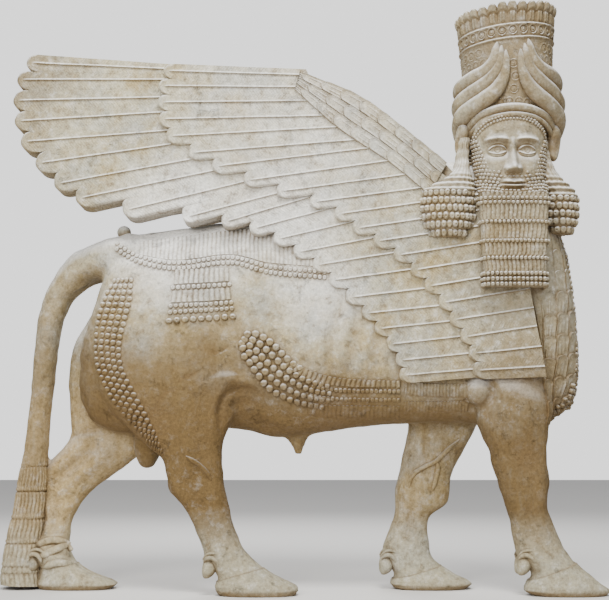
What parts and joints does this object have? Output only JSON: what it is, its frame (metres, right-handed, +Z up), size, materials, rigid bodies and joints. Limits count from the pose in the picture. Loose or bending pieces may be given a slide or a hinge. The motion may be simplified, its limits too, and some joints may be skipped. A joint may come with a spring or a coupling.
{
  "type": "lamassu statue",
  "caption": "Winged bull with a bearded human head under a horned cylindrical crown, a striding gate guardian carved from one block of pale stone.",
  "frame": {"origin": "under the middle of the figure's box, at the level of the soles", "axes": "+Z up, +X toward the chest along the figure's length, -Y toward the fully carved side that the face looks to"},
  "size_m": [4.36, 1.1132, 4.2464],
  "materials": {
    "stone": "matte, weathered"
  },
  "bodies": {
    "root": {"lamassu_statue": "stone"}
  },
  "joints": []
}
